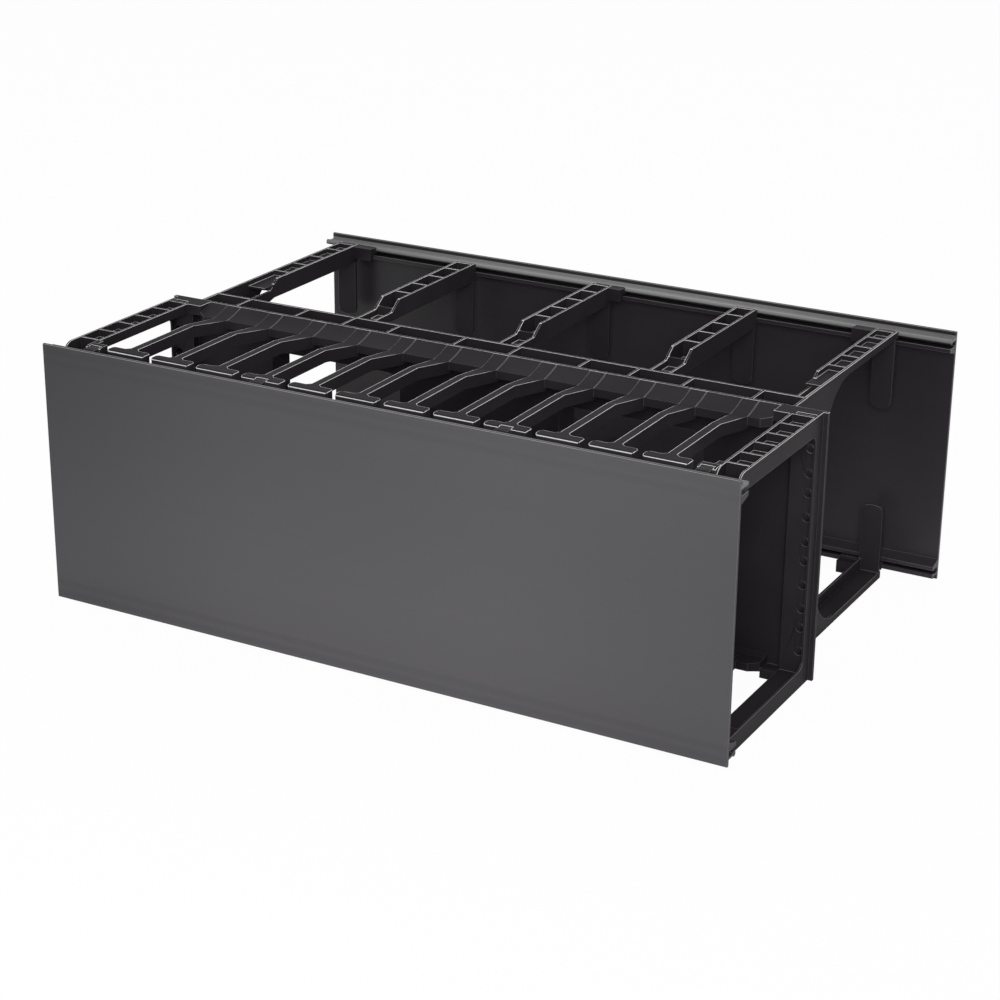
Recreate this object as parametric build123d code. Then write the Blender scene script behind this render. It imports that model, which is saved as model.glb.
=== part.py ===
from build123d import *
import math
import os

# Horizontal cable manager, four rack units high, for the front and the rear of a rack.
# X runs across the rack, Y from the front to the rear, Z up. It is drawn from the body's bottom edge
# up and saved with its origin at the centre of the rack holes, in the plane of the rack's front rails.

# Rack dimensions
rack_unit = 44.45
units_high = 4
height_allowance = 1.3
rack_hole_radius = 3.0
hole_offsets_in_unit = (6.35, 22.225, 38.1)
rack_hole_edge = 7.45

# Body
body_height = units_high * rack_unit - height_allowance
panel_width = 480.0
panel_thickness = 2.5
flange_depth = 9.0
beam_end_gap = 1.8
beam_depth = 18.8
beam_height = 26.0
beam_wall = 2.0
rib_thickness = 1.8
beam_rib_places = (0.0934, 0.3230, 0.4824, 0.6532, 0.8685)
window_inner_place = 0.2717
window_outer_place = 0.7330
window_edge_gap = 0.5
window_radius = 8.0
window_wall = 2.0

# Front end arms
arm_setback = 3.0
arm_width = 16.9
arm_outer_wall = 1.4
arm_outer_wall_height = 12.0
arm_inner_wall = 1.6
arm_inner_wall_height = 6.5
arm_rib_height = 6.5
arm_rib_thickness = 1.5
arm_floor = 1.5
arm_rib_positions = (-109.4, -90.4, -71.0, -52.6, -32.8)
thick_rib_front = -14.3
thick_rib_depth = 2.8
nose_front = -126.0
nose_rear = -109.4
nose_radius = 8.0
inner_nose_width = 4.6
inner_nose_radius = 9.0
nose_lip_height = 4.0
nose_wall = 1.8
post_front = -12.0
post_corner_radius = 6.0

# Finger combs
finger_count = 12
end_head_reach = 10.6
head_gap = 5.0
head_front = -123.5
head_rear = -115.0
head_height = 10.0
head_radius = 3.0
head_rear_cut = 1.8
head_edge_radius = 2.5
stem_width = 5.8
stem_root_width = 11.0
stem_height = 8.0
stem_fillet = 2.5
bend_start = -53.0
slot_end = -19.5
slot_end_drop = 4.9
lip_height = 5.5
lip_sag = 0.9
ridge_height = 0.5
clip_fingers = (4, 9)

# Covers
cover_overhang = 3.0
cover_lift = 2.5
cover_thickness = 2.2
front_cover_face = -139.4
rear_cover_face = 187.5
front_cover_shift = 0.5
rear_cover_shift = 11.3
hinge_depth = 9.9
hinge_edge = 5.0
bead_radius = 1.8
bead_web = 1.5
stop_rail_depth = 11.7
stop_rail_gap = 4.5
stop_rail_tip = 2.6
stop_rail_base = 5.6
edge_rounding = 0.7

# Hinge clips
clip_clearance = 0.06
socket_wall = 1.45
socket_upper_end = 44.0
socket_lower_end = 210.0
front_clip_width = 8.0
clip_reach = 10.0
clip_depth = 9.0
clip_edge_gap = 0.4
end_clip_offset = 5.1
rear_clip_foot = 15.0
middle_clip_foot = 9.0
middle_clip_overlap = 13.0

# Rear brackets
bracket_width = 15.0
bracket_wall = 1.7
end_bracket_gap = 0.3
middle_bracket_place = 0.504
bracket_rear = 174.0
spine_rear = 52.6
bracket_arm_height = 13.0
outer_wall_height = 4.9
base_step = 7.0
step_start = 59.6
step_end = 69.6
bracket_floor = 1.5
bracket_gusset = 12.0
outer_gusset = 36.0
bracket_rib = 1.6
bracket_rib_positions = (62.3, 84.9, 107.7, 130.3, 152.6)
spine_rib_spacing = 44.0
tongue_setback = 1.3
tongue_thickness = 2.5
tongue_length = 53.5
tongue_radius = 5.5

# Snap hooks that hold the rear brackets
hook_half_width = 3.5
hook_thickness = 2.6
hook_barb = 1.2
hook_nose = 1.8
hook_clearance = 0.1
hook_edge_distance = 20.0

mid_height = body_height / 2
hole_x = panel_width / 2 - rack_hole_edge
panel_front = -panel_thickness
arm_outer = panel_width / 2 - arm_setback
arm_inner = arm_outer - arm_width
beam_half_width = arm_inner - beam_end_gap
beam_ribs = [place * beam_half_width for place in beam_rib_places]
window_inner = window_inner_place * beam_half_width
window_outer = window_outer_place * beam_half_width
window_half_height = mid_height - beam_height - window_edge_gap
comb_half_width = arm_inner - end_head_reach
finger_pitch = (2 * comb_half_width - head_gap) / finger_count
head_half = (finger_pitch - head_gap) / 2
finger_xs = [(i - (finger_count + 1) / 2) * finger_pitch for i in range(1, finger_count + 1)]
end_clip_centre = arm_inner - end_clip_offset
end_bracket_outer = beam_half_width - end_bracket_gap
cover_width = panel_width + 2 * cover_overhang
cover_height = body_height
cover_top = cover_lift + cover_height
hinge_z = cover_top - hinge_edge
upper_edge_distance = body_height - hinge_z
lower_edge_distance = cover_lift + hinge_edge
front_hinge_y = front_cover_face + hinge_depth
rear_hinge_y = rear_cover_face - hinge_depth
front_gap = head_front - front_hinge_y


def side_face(points):
    """A closed outline in the YZ plane."""
    return Plane.YZ * make_face(Polyline(*points, close=True))


def side_prism(points, x_start, x_end):
    """An outline in the YZ plane, extruded from one X to another."""
    return Pos(x_start, 0, 0) * extrude(side_face(points), amount=x_end - x_start)


def block(x_start, x_end, y_start, y_end, z_start, z_end):
    size = (x_end - x_start, y_end - y_start, z_end - z_start)
    centre = ((x_start + x_end) / 2, (y_start + y_end) / 2, (z_start + z_end) / 2)
    return Pos(*centre) * Box(*size)


def upside_down(shape):
    """The same shape on the other side of the body's mid height."""
    return mirror(shape, about=Plane.XY.offset(mid_height))


def other_side(shape):
    """The same shape on the other side of the middle of the width."""
    return mirror(shape, about=Plane.YZ)


def eased(points, radii, sides=3):
    """The outline's points with its right-angled corners rounded in a few short sides. The radii
    are listed per point, 0 where the corner stays sharp, and a radius below 0 cuts a corner in one
    slanted side."""
    outline = []
    for i, (corner, radius) in enumerate(zip(points, radii)):
        steps = sides if radius > 0 else 1
        radius = abs(radius)
        if not radius:
            outline.append(corner)
            continue
        ways = []
        for other in (points[i - 1], points[(i + 1) % len(points)]):
            length = math.dist(other, corner)
            ways.append(((other[0] - corner[0]) / length, (other[1] - corner[1]) / length))
        (ux, uy), (vx, vy) = ways
        for k in range(steps + 1):
            turn = math.radians(90 * k / steps)
            back, on = 1 - math.sin(turn), 1 - math.cos(turn)
            outline.append((corner[0] + radius * (ux * back + vx * on),
                            corner[1] + radius * (uy * back + vy * on)))
    return outline


def front_arm():
    """The top right end arm: a trough with cross ribs, an open nose and half a finger head."""
    top = body_height
    floor_low = top - arm_inner_wall_height
    arm = block(arm_inner, arm_inner + arm_inner_wall, head_rear, panel_front, floor_low, top)
    arm += block(arm_inner, arm_outer, nose_rear, panel_front, floor_low, floor_low + arm_floor)
    for y in arm_rib_positions:
        arm += block(arm_inner, arm_outer, y, y + arm_rib_thickness, top - arm_rib_height, top)
    nose_low = top - arm_outer_wall_height
    arm += block(arm_inner, arm_outer, nose_front, nose_rear + arm_rib_thickness,
                 nose_low, nose_low + arm_floor)
    arm += block(arm_inner, arm_outer, nose_front, nose_front + nose_wall,
                 nose_low, nose_low + nose_lip_height)
    arm += block(arm_inner, arm_outer, nose_rear, nose_rear + arm_rib_thickness, nose_low, top)
    inner_nose = make_face(Polyline(*eased(
        [(head_front, nose_low), (head_front, top), (nose_rear, top), (nose_rear, nose_low)],
        [0, inner_nose_radius, 0, 0], 5), close=True))
    arm += Pos(arm_inner + arm_inner_wall - inner_nose_width, 0, 0) * extrude(
        Plane.YZ * inner_nose, amount=inner_nose_width)
    arm += block(comb_half_width, arm_outer, thick_rib_front, thick_rib_front + thick_rib_depth,
                 top - arm_rib_height, top)
    arm += block(arm_inner, arm_inner + 2 * arm_inner_wall, thick_rib_front, panel_front,
                 top - arm_inner_wall_height, top)
    arm += block(comb_half_width, arm_inner + arm_inner_wall, thick_rib_front, panel_front,
                 top - lip_height, top)
    head = make_face(Polyline(*eased(
        [(head_front, top - head_height), (head_front, top), (head_rear, top),
         (head_rear, top - head_height)], [0, head_edge_radius, 0, 0], 2), close=True))
    arm += Pos(comb_half_width, 0, 0) * extrude(Plane.YZ * head,
                                                amount=arm_inner + 1 - comb_half_width)
    return arm - front_clip_seat(end_clip_centre)


def front_clip_seat(x_centre):
    """The notch in a finger head that a hinge clip stands in."""
    return block(x_centre - front_clip_width / 2, x_centre + front_clip_width / 2,
                 head_front - 1, front_hinge_y + clip_reach,
                 body_height - clip_depth, body_height + 1)


def end_post():
    """The right end's upright: the outer wall of the frame and of its arms, open at the front."""
    top = body_height
    low = arm_outer_wall_height
    high = top - arm_outer_wall_height
    outline = make_face(Polyline(
        (panel_front, 0), (panel_front, top), (nose_front, top), (nose_front, high),
        (post_front, high), (post_front, low), (nose_front, low), (nose_front, 0), close=True))
    inner = [v for v in outline.vertices() if abs(v.X - post_front) < 0.01]
    outline = fillet(inner, post_corner_radius)
    tips = [v for v in outline.vertices() if abs(v.X - nose_front) < 0.01
            and not low - 0.01 < v.Y < high + 0.01]
    outline = fillet(tips, nose_radius)
    return Pos(arm_outer - arm_outer_wall, 0, 0) * extrude(Plane.YZ * outline,
                                                           amount=arm_outer_wall)


def mounting_frame():
    """Panel with rack flanges, pass-through windows, top and bottom beams and four end arms."""
    frame = block(-panel_width / 2, panel_width / 2, panel_front, 0, 0, body_height)
    beam = block(-beam_half_width, beam_half_width, 0, beam_depth,
                 body_height - beam_height, body_height)
    rib_lines = sorted([-x for x in beam_ribs] + beam_ribs)
    walls = [-beam_half_width + rib_thickness / 2] + rib_lines
    walls += [beam_half_width - rib_thickness / 2]
    for left, right in zip(walls[:-1], walls[1:]):
        beam -= block(left + rib_thickness / 2, right - rib_thickness / 2, 0,
                      beam_depth - beam_wall, body_height - beam_height + beam_wall,
                      body_height + 1)
    frame += beam + upside_down(beam)
    for side in (-1, 1):
        x = side * (beam_half_width - rib_thickness / 2)
        frame += block(x - rib_thickness / 2, x + rib_thickness / 2, 0, beam_depth,
                       beam_height - beam_wall, body_height - beam_height + beam_wall)
    low, high = mid_height - window_half_height, mid_height + window_half_height
    for side in (-1, 1):
        inner, outer = side * window_inner, side * window_outer
        for x, way in ((inner, -side), (outer, side)):
            frame += block(min(x, x + way * window_wall), max(x, x + way * window_wall),
                           panel_front, beam_depth, beam_height - beam_wall,
                           body_height - beam_height + beam_wall)
        opening = make_face(Polyline(*eased(
            [(inner, low), (inner, high), (outer, high), (outer, low)], [window_radius] * 4),
            close=True))
        frame -= Pos(0, panel_front - 1, 0) * extrude(
            Plane.XZ * opening, amount=-(panel_thickness + 2))
    flange = block(arm_inner, arm_outer, -flange_depth, panel_front, 0, body_height)
    right_end = end_post() + front_arm() + upside_down(front_arm()) + flange
    frame += right_end + other_side(right_end)
    nominal_top = mid_height + units_high * rack_unit / 2
    rows = [nominal_top - unit * rack_unit - offset
            for unit in range(units_high) for offset in hole_offsets_in_unit]
    for z in rows[1:-1]:
        for x in (-hole_x, hole_x):
            frame -= Pos(x, -flange_depth / 2, z) * Rot(90, 0, 0) * Cylinder(
                rack_hole_radius, flange_depth + 2)
    for x in bracket_centres():
        frame -= hook_slot(x) + upside_down(hook_slot(x))
    return frame


def hook_slot(x_centre):
    """The slot in the top beam's rear wall that a bracket's upper hook snaps through."""
    half_width = hook_half_width + hook_clearance
    half_height = hook_thickness / 2 + hook_clearance
    z = body_height - hook_edge_distance
    return block(x_centre - half_width, x_centre + half_width, beam_depth - beam_wall - 1,
                 beam_depth + 1, z - half_height, z + half_height)


def hook(x_centre):
    """A bracket's upper hook: a tab through the slot, with a barb behind the beam's wall."""
    x0, x1 = x_centre - hook_half_width, x_centre + hook_half_width
    low = body_height - hook_edge_distance - hook_thickness / 2
    high = low + hook_thickness
    behind = beam_depth - beam_wall - hook_clearance
    outline = [(beam_depth + bracket_wall / 2, low), (behind - hook_nose, low),
               (behind - hook_nose, high), (behind, high + hook_barb), (behind, high),
               (beam_depth + bracket_wall / 2, high)]
    return side_prism(outline, x0, x1)


def finger(x_centre, with_clip):
    """One finger of the top comb: a bent stem that widens to its root, and a T head."""
    top = body_height
    root = slot_end + 4
    plan = make_face(Polyline(*eased(
        [(-stem_root_width / 2, root), (-stem_root_width / 2, slot_end),
         (-stem_width / 2, bend_start), (-stem_width / 2, head_rear),
         (-head_half, head_rear), (-head_half, head_front),
         (head_half, head_front), (head_half, head_rear),
         (stem_width / 2, head_rear), (stem_width / 2, bend_start),
         (stem_root_width / 2, slot_end), (stem_root_width / 2, root)],
        [0, 0, 0, -stem_fillet, -head_rear_cut, head_radius,
         head_radius, -head_rear_cut, -stem_fillet, 0, 0, 0]), close=True))
    column = Pos(x_centre, 0, top - 2 * head_height) * extrude(plan, amount=3 * head_height)
    low_root = top - slot_end_drop - stem_height
    side = make_face(Polyline(*eased(
        [(head_front, top - head_height), (head_front, top), (bend_start, top),
         (slot_end, top - slot_end_drop), (root, top - slot_end_drop), (root, low_root),
         (slot_end, low_root), (bend_start, top - stem_height),
         (head_rear, top - stem_height), (head_rear, top - head_height)],
        [0, head_edge_radius, 0, 0, 0, 0, 0, 0, 0, 0], 2), close=True))
    sheet = Pos(x_centre - finger_pitch / 2, 0, 0) * extrude(Plane.YZ * side,
                                                             amount=finger_pitch)
    solid = column & sheet
    if with_clip:
        solid -= front_clip_seat(x_centre)
    return solid


def comb_lip():
    """The curved lip behind the slots, from the slots' ends up to the panel's top edge."""
    top = body_height
    low = top - slot_end_drop
    middle = ((slot_end + panel_front) / 2, (low + top) / 2 - lip_sag)
    curve = ThreePointArc((slot_end, low), middle, (panel_front, top))
    outline = make_face(curve + Polyline(
        (panel_front, top), (panel_front, top - 2.2 * lip_height),
        (panel_front - lip_height, low - lip_height), (slot_end, low - lip_height),
        (slot_end, low)))
    lip = Pos(-comb_half_width, 0, 0) * extrude(Plane.YZ * outline, amount=2 * comb_half_width)
    corner = comb_half_width - 6
    for side in (-1, 1):
        cut = make_face(Polyline((side * corner, slot_end - 1), (side * (comb_half_width + 1),
                                                                 slot_end - 1),
                                 (side * (comb_half_width + 1), thick_rib_front + 1.2),
                                 (side * comb_half_width, thick_rib_front),
                                 (side * corner, slot_end), close=True))
        lip -= Pos(0, 0, top - 4 * lip_height) * extrude(cut, amount=6 * lip_height)
    return lip


def finger_comb():
    """The top comb: twelve fingers on one lip, with a low ridge from each finger to the panel."""
    top = body_height
    comb = comb_lip()
    for i, x in enumerate(finger_xs, start=1):
        comb += finger(x, i in clip_fingers)
        comb += side_prism([(slot_end, top - slot_end_drop - lip_height / 2),
                            (slot_end, top - slot_end_drop),
                            ((slot_end + panel_front) / 2,
                             top - slot_end_drop / 2 - lip_sag + ridge_height),
                            (panel_front, top), (panel_front, top - lip_height)],
                           x - stem_root_width / 2, x + stem_root_width / 2)
    return comb


def clip_profile(edge_distance):
    """Side view of a hinge clip on the top edge, with the bead's axis at (0, 0): a round socket,
    open to the front and the top, and its foot. The edge lies edge_distance above the axis."""
    inner = bead_radius + clip_clearance
    outer = inner + socket_wall
    ring = RegularPolygon(outer, 12, major_radius=False) - Circle(inner)
    mouth_angles = [socket_upper_end, 85, 125, 165, socket_lower_end]
    far = 3 * outer
    mouth = make_face(Polyline((0, 0), *[(far * math.cos(math.radians(a)),
                                          far * math.sin(math.radians(a)))
                                         for a in mouth_angles], close=True))
    ring -= mouth
    high = edge_distance - clip_edge_gap
    low = edge_distance - clip_depth
    neck_low = max(-outer * 0.8, low + 0.3)
    neck = make_face(Polyline((inner + 0.5, neck_low), (front_gap + 0.5, neck_low),
                              (front_gap + 0.5, min(high, outer) - 0.2),
                              (inner + 0.5, outer * 0.5), close=True))
    foot = neck + make_face(Polyline((front_gap, low), (clip_reach, low), (clip_reach, high),
                                     (front_gap, high), close=True))
    return ring + foot - Circle(inner), ring


def front_clip(x_centre, edge_distance):
    """A front clip on the top edge: its foot stands in the notch of a finger head."""
    profile, _ = clip_profile(edge_distance)
    place = Pos(x_centre - front_clip_width / 2, front_hinge_y, body_height - edge_distance)
    return place * extrude(Plane.YZ * profile, amount=front_clip_width)


def rear_clip(x_foot_start, x_foot_end, x_ring_start, x_ring_end, edge_distance):
    """A rear clip on the top edge: its foot stands beside a bracket's arm and its socket runs
    past the arm's end."""
    profile, ring = clip_profile(edge_distance)
    facing_rear = Plane((0, 0, 0), x_dir=(0, -1, 0), z_dir=(-1, 0, 0))
    clip = Pos(x_foot_start, 0, 0) * extrude(facing_rear * profile,
                                             amount=x_foot_start - x_foot_end)
    clip += Pos(x_ring_start, 0, 0) * extrude(facing_rear * ring,
                                              amount=x_ring_start - x_ring_end)
    return Pos(0, rear_hinge_y, body_height - edge_distance) * clip


def cover():
    """The front cover: a panel with a hinge bead and a stop rail along each long edge."""
    z0, z1 = cover_lift, cover_top
    face = make_face(Polyline(*eased([(0, z0), (0, z1), (cover_thickness, z1),
                                      (cover_thickness, z0)], [edge_rounding] * 4, 2),
                              close=True))
    web = make_face(Polyline((cover_thickness / 2, hinge_z - bead_web / 2),
                             (cover_thickness / 2, hinge_z + bead_web / 2),
                             (hinge_depth, hinge_z + bead_web / 2),
                             (hinge_depth, hinge_z - bead_web / 2), close=True))
    bead = Pos(hinge_depth, hinge_z) * Circle(bead_radius)
    rail_top = hinge_z - stop_rail_gap
    rail = make_face(Polyline((cover_thickness / 2, rail_top), (stop_rail_depth, rail_top),
                              (stop_rail_depth, rail_top - stop_rail_tip),
                              (cover_thickness / 2, rail_top - stop_rail_base), close=True))
    edge = web + bead + rail
    low_edge = mirror(edge, about=Plane.XZ.offset(-(z0 + z1) / 2))
    profile = face + edge + low_edge
    solid = Pos(-cover_width / 2, 0, 0) * extrude(Plane.YZ * profile, amount=cover_width)
    return Pos(front_cover_shift, front_cover_face, 0) * solid


def bracket_centres():
    end = end_bracket_outer - bracket_width / 2
    middle = middle_bracket_place * beam_half_width
    return [-end, -middle, 0, middle, end]


def end_bracket():
    """The right end's rear bracket: a C with a spine and two laddered arms."""
    top = body_height
    x1 = end_bracket_outer
    x0 = x1 - bracket_width
    solid = None
    for start, arm_height, gusset, sides in ((x0, bracket_arm_height, bracket_gusset, 3),
                                             (x1 - bracket_wall, outer_wall_height,
                                              outer_gusset, 8)):
        low = base_step if start == x0 else 0
        outline = [(beam_depth, low), (beam_depth, top - low)]
        outline += [(step_start, top - low), (step_end, top)] if low else []
        outline += [(bracket_rear, top)]
        outline += eased([(bracket_rear, top - arm_height), (spine_rear, top - arm_height),
                          (spine_rear, arm_height), (bracket_rear, arm_height)],
                         [0, gusset, gusset, 0], sides)
        outline += [(bracket_rear, 0)]
        outline += [(step_end, 0), (step_start, low)] if low else []
        wall = side_prism(outline, start, start + bracket_wall)
        solid = wall if solid is None else solid + wall
    solid += block(x0, x1, beam_depth, beam_depth + bracket_wall, base_step, top - base_step)
    arm = arm_inside_parts(x0, x1, top - outer_wall_height)
    solid += arm + upside_down(arm)
    count = int((top - 2 * bracket_arm_height) / spine_rib_spacing)
    for k in range(count):
        z = mid_height + (k - (count - 1) / 2) * spine_rib_spacing
        solid += block(x0, x1, beam_depth, spine_rear, z - bracket_rib / 2, z + bracket_rib / 2)
    return solid


def rear_arm(x_centre):
    """An upper rear arm between the ends: two walls on the beam, ribs, a floor and a tongue."""
    top = body_height
    x0, x1 = x_centre - bracket_width / 2, x_centre + bracket_width / 2
    root_low = top - beam_height
    arm_low = top - bracket_arm_height
    outline = [(beam_depth, root_low), (beam_depth, top - base_step), (step_start, top - base_step),
               (step_end, top), (bracket_rear, top), (bracket_rear, arm_low),
               (spine_rear, arm_low), (beam_depth + bracket_wall, root_low)]
    solid = side_prism(outline, x0, x0 + bracket_wall)
    solid += side_prism(outline, x1 - bracket_wall, x1)
    solid += block(x0, x1, beam_depth, beam_depth + bracket_wall, root_low, top - base_step)
    return solid + arm_inside_parts(x0, x1, arm_low)


def arm_inside_parts(x0, x1, low):
    """What lies between the walls of an upper rear arm: cross ribs, floor, tongue and hook."""
    top = body_height
    solid = block(x0, x1, spine_rear, bracket_rear - tongue_setback, low, low + bracket_floor)
    for y in bracket_rib_positions:
        ramp = (y - step_start) / (step_end - step_start)
        rib_top = top - base_step * (1 - min(ramp, 1.0)) if y < step_end else top
        solid += block(x0, x1, y, y + bracket_rib, min(low, rib_top - 3), rib_top)
    tongue_low = top - tongue_length
    tongue = make_face(Polyline(*eased([(x0, top), (x0, tongue_low), (x1, tongue_low), (x1, top)],
                                       [0, tongue_radius, tongue_radius, 0]), close=True))
    solid += Pos(0, bracket_rear - tongue_setback - tongue_thickness, 0) * extrude(
        Plane.XZ * tongue, amount=-tongue_thickness)
    return solid + hook((x0 + x1) / 2)


def save(shape, name):
    """The shape as a file of its own, with the origin at the centre of the rack holes."""
    export_step(Pos(0, 0, -mid_height) * shape, "parts/" + name + ".step")
    print(name, "volume", round(shape.volume / 1000, 2), "cm3")


os.makedirs("parts", exist_ok=True)

save(mounting_frame(), "mounting_frame")
upper_comb = finger_comb()
save(upper_comb, "upper_finger_comb")
save(upside_down(upper_comb), "lower_finger_comb")

right_bracket = end_bracket()
save(right_bracket, "rear_bracket_right_end")
save(other_side(right_bracket), "rear_bracket_left_end")
for name, x in zip(("left", "middle", "right"), bracket_centres()[1:-1]):
    save(rear_arm(x), "rear_upper_arm_" + name)
    save(upside_down(rear_arm(x)), "rear_lower_arm_" + name)

front_panel = cover()
save(front_panel, "front_cover")
rear_panel = mirror(Pos(-front_cover_shift, -front_cover_face, 0) * front_panel, about=Plane.XZ)
save(Pos(rear_cover_shift, rear_cover_face, 0) * rear_panel, "rear_cover")

front_clip_xs = {
    "left_end": -end_clip_centre,
    "left": finger_xs[clip_fingers[0] - 1],
    "right": finger_xs[clip_fingers[1] - 1],
    "right_end": end_clip_centre,
}
for name, x in front_clip_xs.items():
    save(front_clip(x, upper_edge_distance), "front_upper_clip_" + name)
    save(upside_down(front_clip(x, lower_edge_distance)), "front_lower_clip_" + name)

arm_inside = end_bracket_outer - bracket_width
foot_inside = arm_inside - rear_clip_foot
half_arm = bracket_width / 2
rear_clip_spans = {
    "left": (-arm_inside, -foot_inside, -end_bracket_outer, -foot_inside),
    "middle": (half_arm, half_arm + middle_clip_foot,
               half_arm - middle_clip_overlap, half_arm + middle_clip_foot),
    "right": (foot_inside, arm_inside, foot_inside, end_bracket_outer),
}
for name, spans in rear_clip_spans.items():
    save(rear_clip(*spans, upper_edge_distance), "rear_upper_clip_" + name)
    save(upside_down(rear_clip(*spans, lower_edge_distance)), "rear_lower_clip_" + name)
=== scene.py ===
# %% [markdown]
# A horizontal cable manager for a server rack: black moulded combs and arms between two
# charcoal covers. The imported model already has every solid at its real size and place, so this
# lesson dresses it: rounded edges, plastics, light and a camera.

# %% Load the frame
import math
import bpy
import bmesh
from mathutils import Matrix, Vector


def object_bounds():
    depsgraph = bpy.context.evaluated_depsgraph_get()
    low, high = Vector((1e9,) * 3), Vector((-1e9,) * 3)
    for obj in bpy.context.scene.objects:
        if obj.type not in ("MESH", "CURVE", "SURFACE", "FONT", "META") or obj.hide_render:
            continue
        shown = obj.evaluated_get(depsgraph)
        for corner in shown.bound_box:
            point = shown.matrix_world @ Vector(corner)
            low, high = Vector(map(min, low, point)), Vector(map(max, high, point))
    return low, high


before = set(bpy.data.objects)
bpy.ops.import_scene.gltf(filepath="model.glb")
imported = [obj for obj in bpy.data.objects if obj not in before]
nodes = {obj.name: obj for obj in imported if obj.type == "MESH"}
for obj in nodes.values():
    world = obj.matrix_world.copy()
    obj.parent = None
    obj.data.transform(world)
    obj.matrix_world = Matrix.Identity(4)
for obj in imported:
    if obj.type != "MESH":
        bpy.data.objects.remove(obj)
cad_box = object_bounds()

# %% [markdown]
# Shader maths is easier to read as Python. The class below wraps a node's output socket, so that
# a * b or 1 - mask adds a Math node. One function makes any other node from its type, its
# settings and the values or links of its sockets.

# %% A small language for shader nodes
X, Y, Z = 0, 1, 2


class Value:
    """An output socket that can be added, subtracted, multiplied and compared."""

    def __init__(self, tree, socket):
        self.tree = tree
        self.socket = socket

    def math(self, operation, *others):
        node = self.tree.nodes.new("ShaderNodeMath")
        node.operation = operation
        for index, value in enumerate((self,) + others):
            if isinstance(value, Value):
                self.tree.links.new(value.socket, node.inputs[index])
            else:
                node.inputs[index].default_value = value
        return Value(self.tree, node.outputs[0])

    def constant(self, number):
        node = self.tree.nodes.new("ShaderNodeValue")
        node.outputs[0].default_value = number
        return Value(self.tree, node.outputs[0])

    def __add__(self, other):
        return self.math("ADD", other)

    __radd__ = __add__

    def __mul__(self, other):
        return self.math("MULTIPLY", other)

    __rmul__ = __mul__

    def __sub__(self, other):
        return self.math("SUBTRACT", other)

    def __rsub__(self, other):
        return self.constant(other).math("SUBTRACT", self)

    def absolute(self):
        return self.math("ABSOLUTE")

    def axis(self, index):
        """The X, Y or Z of a vector."""
        return make(self.tree, "ShaderNodeSeparateXYZ", inputs={"Vector": self}, output=index)

    def step(self, low, high):
        """0 below low, 1 above high, smooth between."""
        return make(self.tree, "ShaderNodeMapRange", {"interpolation_type": "SMOOTHSTEP"},
                    {"Value": self, "From Min": low, "From Max": high})


def make(tree, kind, settings=None, inputs=None, output=0):
    """Adds a node of a kind, sets it up, and returns one of its outputs as a Value."""
    node = tree.nodes.new(kind)
    for name, value in (settings or {}).items():
        setattr(node, name, value)
    for name, value in (inputs or {}).items():
        if isinstance(value, Value):
            tree.links.new(value.socket, node.inputs[name])
        else:
            node.inputs[name].default_value = value
    return Value(tree, node.outputs[output])


# %% [markdown]
# A few nodes come back in every finish: a noise, a mix of two colours, and the bump that a fine
# grain makes. Blender's Mix node has its colour sockets at fixed places among those for numbers
# and vectors, so they are named here once.

# %% Parts of a finish
MIX_SHARE = 0
MIX_FIRST = 6
MIX_SECOND = 7
MIX_COLOUR = 2
GRAIN_DETAIL = 2.0


def noise(tree, place, scale, detail):
    return make(tree, "ShaderNodeTexNoise",
                inputs={"Vector": place, "Scale": scale, "Detail": detail})


def blend(tree, share, first, second, way="MIX"):
    """The first colour where share is 0, and the second where it is 1."""
    return make(tree, "ShaderNodeMix", {"data_type": "RGBA", "blend_type": way},
                {MIX_SHARE: share, MIX_FIRST: first, MIX_SECOND: second}, MIX_COLOUR)


def grain_bump(tree, place, scale, strength, depth):
    speck = noise(tree, place, scale, GRAIN_DETAIL)
    return make(tree, "ShaderNodeBump",
                inputs={"Height": speck, "Strength": strength, "Distance": depth})


def new_material(name):
    """A material, its empty tree, and the place on the piece in metres."""
    material = bpy.data.materials.new(name)
    material.use_nodes = True
    tree = material.node_tree
    tree.nodes.clear()
    return material, tree, make(tree, "ShaderNodeTexCoord", output="Object")


def show(tree, shader, kind="ShaderNodeOutputMaterial"):
    """Links a shader to the output of its material or world."""
    output = tree.nodes.new(kind)
    tree.links.new(shader.socket, output.inputs["Surface"])


def grey(level, tint=(1.0, 1.0, 1.0)):
    return (level * tint[0], level * tint[1], level * tint[2], 1.0)


# %% [markdown]
# The body is near-black moulded plastic with a fine satin grain. Large soft noise varies its
# colour and gloss a little, as moulding does near ribs and gates, and a very small bump breaks
# up the reflections. The clips are the same plastic, a little glossier.

# %% Moulded plastics
BLACK_TINT = (1.03, 0.90, 1.03)
CLOUD_SCALE = 14.0
CLOUD_DETAIL = 3.0
CLOUD_PATCHES = (0.3, 0.7)
CLOUD_CHANGE = 0.15
GLOSS_CHANGE = 0.1
MOULD_GRAIN_SCALE = 900.0
MOULD_GRAIN_STRENGTH = 0.12
MOULD_GRAIN_DEPTH = 0.0004


def moulded(name, level, roughness, specular):
    material, tree, place = new_material(name)
    cloud = noise(tree, place, CLOUD_SCALE, CLOUD_DETAIL)
    colour = blend(tree, cloud.step(*CLOUD_PATCHES),
                   grey(level * (1 - CLOUD_CHANGE), BLACK_TINT),
                   grey(level * (1 + CLOUD_CHANGE), BLACK_TINT))
    bump = grain_bump(tree, place, MOULD_GRAIN_SCALE, MOULD_GRAIN_STRENGTH, MOULD_GRAIN_DEPTH)
    show(tree, make(tree, "ShaderNodeBsdfPrincipled", inputs={
        "Base Color": colour, "Roughness": cloud * GLOSS_CHANGE + (roughness - GLOSS_CHANGE / 2),
        "Normal": bump, "Specular IOR Level": specular}))
    return material


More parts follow.
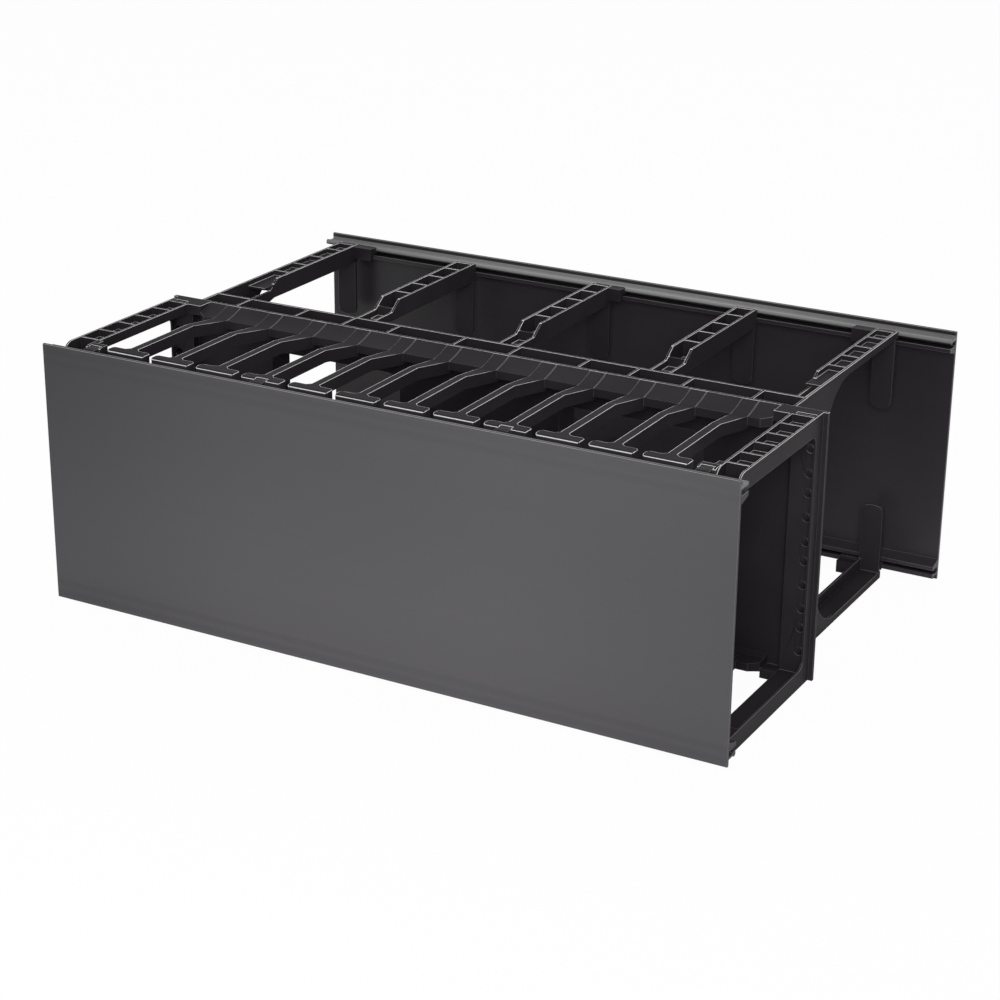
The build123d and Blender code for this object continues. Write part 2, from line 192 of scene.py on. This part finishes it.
body_plastic = moulded("moulded black", 0.029, roughness=0.42, specular=0.05)
clip_plastic = moulded("clip black", 0.024, roughness=0.32, specular=0.15)
print("moulded plastics:", body_plastic.name, "and", clip_plastic.name)

# %% [markdown]
# The narrow faces that the rounding of the edges makes get a second finish with a painted
# highlight. It is pale where such a face looks up and stands high on the piece, as if lit from
# above, and dark where it stands upright or low down. A little noise varies it. The fingers'
# own edges also get painted shade towards their roots, which lie further back in Y.

# %% Edges with a painted highlight
FACING_UP = (0.25, 0.75)
EDGE_NOISE_SCALE = 160.0
EDGE_NOISE_DETAIL = 2.0
HIGHLIGHT_LEAST = 0.8
HIGHLIGHT_CHANGE = 0.4
HIGHLIGHT_HEIGHTS = (0.058, 0.074)
HIGHLIGHT_LOW_DOWN = 0.14
FINGER_ROOTS = (-0.034, -0.022)
ROOT_PAINTED_SHADE = 0.91
EDGE_ROUGHNESS = 0.28
EDGE_SPECULAR = 0.4


def painted_highlight_edge(name, low, high, fade=None):
    """low and high are the greys of an unlit edge and its painted highlight; fade is a range in
    Y.
    """
    material, tree, place = new_material(name)
    facing = make(tree, "ShaderNodeTexCoord", output="Normal")
    edge_noise = noise(tree, place, EDGE_NOISE_SCALE, EDGE_NOISE_DETAIL)
    high_up = place.axis(Z).step(*HIGHLIGHT_HEIGHTS) * (1 - HIGHLIGHT_LOW_DOWN) + HIGHLIGHT_LOW_DOWN
    # Painted highlight: pale on faces that look up and stand high, as if lit from above.
    painted_highlight = facing.axis(Z).step(*FACING_UP) * (edge_noise * HIGHLIGHT_CHANGE + HIGHLIGHT_LEAST) * high_up
    if fade:
        # Painted shade on the finger edges towards their deeper roots.
        painted_highlight = painted_highlight * (1 - place.axis(Y).step(*fade) * ROOT_PAINTED_SHADE)
    show(tree, make(tree, "ShaderNodeBsdfPrincipled", inputs={
        "Base Color": blend(tree, painted_highlight, grey(low, BLACK_TINT), grey(high)),
        "Roughness": edge_noise * GLOSS_CHANGE + EDGE_ROUGHNESS,
        "Specular IOR Level": EDGE_SPECULAR}))
    return material


# Each edge material paints a highlight on the bevel faces; the finger edges also paint root
# shade.
body_edge = painted_highlight_edge("moulded black, painted edge highlight", 0.035, 0.80)
comb_edge = painted_highlight_edge("finger black, painted edge highlight and root shade", 0.035, 0.80, fade=FINGER_ROOTS)
clip_edge = painted_highlight_edge("clip black, painted edge highlight", 0.035, 0.25)
cover_edge = painted_highlight_edge("extruded charcoal, painted edge highlight", 0.10, 0.30)
print("edges:", ", ".join(edge.name for edge in (body_edge, comb_edge, clip_edge, cover_edge)))

# %% [markdown]
# The covers are extruded panels. Their charcoal skin is satin, with very faint streaks along the
# extrusion. Behind each rail the skin has sunk a little, and the shade of that dip is painted as
# soft darker lines along the panel's long edges. Painted shade makes the skin darker towards its
# ends and its upper part. The inner face gets painted shade, apart from a narrow painted
# highlight below the top edge. All of this is told by place alone: how deep a point lies behind
# the outer face, and how high it stands.

# %% Places on a cover
COVER_HEIGHT = 0.1765
COVERS_ABOVE_BODY = 0.0025
COVER_MIDDLE = cad_box[0][2] + COVERS_ABOVE_BODY + COVER_HEIGHT / 2
FRONT_FACE = cad_box[0][1]
REAR_FACE = cad_box[1][1]
SKIN_DEPTH = (0.0006, 0.0012)
STRIP_BOTTOM = (0.0848, 0.0856)
STRIP_TOP = (0.0878, 0.0884)
RAIL_LINES = (0.0115, 0.0045)
SINK_WIDTH = (0.0008, 0.0035)
DARKER_UPWARDS = (-0.09, 0.09)
DARKER_OUTWARDS = (0.06, 0.28)
print("cover sink lines at", RAIL_LINES, "m from the long edges")

# %% Extruded cover plastic
COVER_TINT = (1.0, 0.955, 1.05)
SKIN_GREY = 0.058
INNER_PAINTED_SHADE_GREY = 0.036
STRIP_HIGHLIGHT_GREY = 0.32
STREAK_STRETCH = (0.6, 60.0, 60.0)
STREAK_SCALE = 6.0
STREAK_DETAIL = 3.0
STREAK_SHADE = 0.10
STREAK_GLOSS = 0.08
STREAK_BASE = 0.95
SINK_SHADE = 0.10
MIDDLE_SHADE = 1.25
UPWARD_SHADE = 0.36
OUTWARD_SHADE = 0.32
COVER_SPECULAR = 0.4
COVER_GRAIN_SCALE = 1400.0
COVER_GRAIN_STRENGTH = 0.10
COVER_GRAIN_DEPTH = 0.0003


# Marks where the shade of the sunk skin along the rails is painted into the colour.
def sink_lines(height):
    """1 along the middle of each sunk line, and 0 away from them."""
    from_middle = (height - COVER_MIDDLE).absolute()
    bands = [1 - (from_middle - (COVER_HEIGHT / 2 - rail)).absolute().step(*SINK_WIDTH)
             for rail in RAIL_LINES]
    return bands[0] + bands[1]


def extruded(name, outer_face, inwards, roughness):
    """outer_face is the place in Y of the outer face, and inwards is +1 or -1 along Y."""
    material, tree, place = new_material(name)
    height = place.axis(Z)
    inside = ((place.axis(Y) - outer_face) * inwards).step(*SKIN_DEPTH)
    # A pale strip on the inner face below the top edge: a painted highlight.
    highlight_strip = inside * height.step(*STRIP_BOTTOM) * (1 - height.step(*STRIP_TOP))
    # The inner face gets a darker grey: painted shade.
    skin_and_inner_shade = blend(tree, inside, grey(SKIN_GREY, COVER_TINT), grey(INNER_PAINTED_SHADE_GREY, BLACK_TINT))
    plain = blend(tree, highlight_strip, skin_and_inner_shade, grey(STRIP_HIGHLIGHT_GREY))

    stretched = make(tree, "ShaderNodeMapping", inputs={"Vector": place, "Scale": STREAK_STRETCH})
    streak = noise(tree, stretched, STREAK_SCALE, STREAK_DETAIL)
    # Painted shade: the colour darkens towards the ends and the top of the cover.
    painted_falloff = (MIDDLE_SHADE - height.step(*DARKER_UPWARDS) * UPWARD_SHADE
               - place.axis(X).absolute().step(*DARKER_OUTWARDS) * OUTWARD_SHADE)
    # Real streaks times painted shade from the sink lines and the falloff.
    streaks_and_painted_shade = (streak * STREAK_SHADE + STREAK_BASE - sink_lines(height) * SINK_SHADE) * painted_falloff
    streaks_and_painted_shade_colour = make(tree, "ShaderNodeCombineColor",
                        inputs={"Red": streaks_and_painted_shade, "Green": streaks_and_painted_shade, "Blue": streaks_and_painted_shade})
    bump = grain_bump(tree, place, COVER_GRAIN_SCALE, COVER_GRAIN_STRENGTH, COVER_GRAIN_DEPTH)
    show(tree, make(tree, "ShaderNodeBsdfPrincipled", inputs={
        "Base Color": blend(tree, 1.0, plain, streaks_and_painted_shade_colour, "MULTIPLY"),
        "Roughness": streak * STREAK_GLOSS + roughness,
        "Normal": bump, "Specular IOR Level": COVER_SPECULAR}))
    return material


front_skin = extruded("front cover charcoal", FRONT_FACE, 1, roughness=0.40)
rear_skin = extruded("rear cover charcoal", REAR_FACE, -1, roughness=0.30)
print("covers:", front_skin.name, "and", rear_skin.name)

# %% [markdown]
# Every moulded edge is rounded by a few tenths of a millimetre, and that rounding is what shows
# as thin bright lines against black plastic. The CAD solids have sharp edges, so each node gets
# four modifiers: a Weld that joins its loose triangles, a planar Decimate that clears the flat
# faces, a Triangulate that keeps faces with holes in them sound, and a Bevel whose own faces take
# the edge finish. Its widths stay small, because a wide one would overlap itself at the small
# fillets. The mesh itself stays as it is.

# %% Rounded edges and finishes on the solids
BODY_ROUNDING = 0.00035
FRAME_ROUNDING = 0.0003
COVER_ROUNDING = 0.0002
CLIP_ROUNDING = 0.0001
JOIN_DISTANCE = 0.000002
FLAT_ANGLE = math.radians(1.0)
EDGE_ANGLE = math.radians(30.0)
ROUNDING_STEPS = 3
ROUNDING_PROFILE = 0.75
EDGE_SLOT = 1


def dress(node, main, edge, width):
    thing = nodes[node]
    thing.data.materials.clear()
    thing.data.materials.append(main)
    thing.data.materials.append(edge)
    weld = thing.modifiers.new("join", "WELD")
    weld.merge_threshold = JOIN_DISTANCE
    flat = thing.modifiers.new("flats", "DECIMATE")
    flat.decimate_type = "DISSOLVE"
    flat.angle_limit = FLAT_ANGLE
    thing.modifiers.new("triangles", "TRIANGULATE")
    bevel = thing.modifiers.new("rounding", "BEVEL")
    bevel.width = width
    bevel.segments = ROUNDING_STEPS
    bevel.profile = ROUNDING_PROFILE
    bevel.limit_method = "ANGLE"
    bevel.angle_limit = EDGE_ANGLE
    bevel.material = EDGE_SLOT
    bevel.use_clamp_overlap = False


for name in nodes:
    if name == "front_cover":
        dress(name, front_skin, cover_edge, COVER_ROUNDING)
    elif name == "rear_cover":
        dress(name, rear_skin, cover_edge, COVER_ROUNDING)
    elif "clip" in name:
        dress(name, clip_plastic, clip_edge, CLIP_ROUNDING)
    elif name.endswith("_comb"):
        dress(name, body_plastic, comb_edge, BODY_ROUNDING)
    elif name == "mounting_frame":
        dress(name, body_plastic, body_edge, FRAME_ROUNDING)
    else:
        dress(name, body_plastic, body_edge, BODY_ROUNDING)
print("dressed", len(nodes), "nodes")

# %% [markdown]
# The photograph has a pure white ground without a horizon. A wide floor carries a soft contact
# shadow, and both floor and world turn white for the camera only, so the white adds no light.
# The floor keeps a little of its own shade, because otherwise the shadow would vanish too.

# %% Floor
FLOOR_REACH = 6.0
FLOOR_GAP = 0.0002
FLOOR_WHITENESS = 0.97
WHITE = (1.0, 1.0, 1.0, 1.0)
PAPER = (0.86, 0.86, 0.86, 1.0)


def white_to_camera(tree, lit, white, share):
    """Shows share of the white shader to the camera, and the lit one to all other light."""
    camera_ray = make(tree, "ShaderNodeLightPath", output="Is Camera Ray")
    return make(tree, "ShaderNodeMixShader", inputs={0: camera_ray * share, 1: lit, 2: white})


mesh = bpy.data.meshes.new("floor")
shape = bmesh.new()
bmesh.ops.create_grid(shape, x_segments=1, y_segments=1, size=FLOOR_REACH)
shape.to_mesh(mesh)
shape.free()
floor = bpy.data.objects.new("floor", mesh)
bpy.context.scene.collection.objects.link(floor)
floor.location = (0.0, 0.0, cad_box[0][2] - FLOOR_GAP)

floor_paper, tree, place = new_material("white paper")
paper = make(tree, "ShaderNodeBsdfPrincipled",
             inputs={"Base Color": PAPER, "Roughness": 0.8, "Specular IOR Level": 0.1})
white = make(tree, "ShaderNodeEmission", inputs={"Color": WHITE, "Strength": 1.0})
show(tree, white_to_camera(tree, paper, white, FLOOR_WHITENESS))
mesh.materials.append(floor_paper)
print("floor at", round(floor.location.z, 4), "m")

# %% World
ROOM_LIGHT = 0.40

world = bpy.data.worlds.new("studio")
bpy.context.scene.world = world
world.use_nodes = True
tree = world.node_tree
tree.nodes.clear()
room = make(tree, "ShaderNodeBackground", inputs={"Color": WHITE, "Strength": ROOM_LIGHT})
white = make(tree, "ShaderNodeBackground", inputs={"Color": WHITE, "Strength": 1.0})
show(tree, white_to_camera(tree, room, white, 1.0), "ShaderNodeOutputWorld")
print("room light", ROOM_LIGHT)

# %% [markdown]
# Four soft boxes: one above and behind, which draws the bright lines on the top edges, one beside
# the camera, which reaches the deep parts between the combs, one low in front for the soft glow
# in the middle of the charcoal cover, and one at the left.

# %% Soft boxes
CENTRE = (0.0, 0.0, 0.0)


def soft_box(name, place, width, height, watts, target=CENTRE):
    light = bpy.data.lights.new(name, "AREA")
    light.shape = "RECTANGLE"
    light.size = width
    light.size_y = height
    light.energy = watts
    lamp = bpy.data.objects.new(name, light)
    bpy.context.scene.collection.objects.link(lamp)
    lamp.location = place
    aim = Vector(target) - Vector(place)
    lamp.rotation_euler = aim.to_track_quat("-Z", "Y").to_euler()
    print("soft box", name, watts, "W")


soft_box("overhead", (0.0, 0.35, 1.8), width=1.6, height=1.6, watts=11)
soft_box("beside the camera", (0.95, -1.75, 0.95), width=0.9, height=0.9, watts=22)
soft_box("low front", (0.06, -0.80, -0.06), width=0.4, height=0.2, watts=2.2,
         target=(0.0, -0.14, -0.04))
soft_box("left", (-1.9, -0.6, 0.8), width=1.2, height=1.2, watts=4)

# %% [markdown]
# The camera was found by fitting the model's straight edges to those in the photograph: it
# stands to the right, well above the front, with a long lens and a roll of half a degree.

# %% Camera
AZIMUTH = math.radians(28.95)
ELEVATION = math.radians(21.37)
ROLL = math.radians(0.56)
CAMERA_PLACE = (0.7202, -1.2724, 0.55625)
LENS_MM = 86.0
SENSOR_MM = 36.0
SHIFT_X = -0.0009
SHIFT_Y = 0.0005

ahead = Vector((-math.sin(AZIMUTH) * math.cos(ELEVATION),
                math.cos(AZIMUTH) * math.cos(ELEVATION), -math.sin(ELEVATION)))
right = Vector((math.cos(AZIMUTH), math.sin(AZIMUTH), 0.0))
up = right.cross(ahead)
camera_right = right * math.cos(ROLL) + up * math.sin(ROLL)
camera_up = up * math.cos(ROLL) - right * math.sin(ROLL)
turn = Matrix((camera_right, camera_up, -ahead)).transposed()
eye = bpy.data.cameras.new("camera")
eye.lens = LENS_MM
eye.sensor_width = SENSOR_MM
eye.shift_x = SHIFT_X
eye.shift_y = SHIFT_Y
camera = bpy.data.objects.new("camera", eye)
bpy.context.scene.collection.objects.link(camera)
camera.matrix_world = Matrix.Translation(CAMERA_PLACE) @ turn.to_4x4()
bpy.context.scene.camera = camera
bpy.context.scene.view_settings.view_transform = "Standard"
print("camera at", tuple(round(v, 3) for v in camera.location))
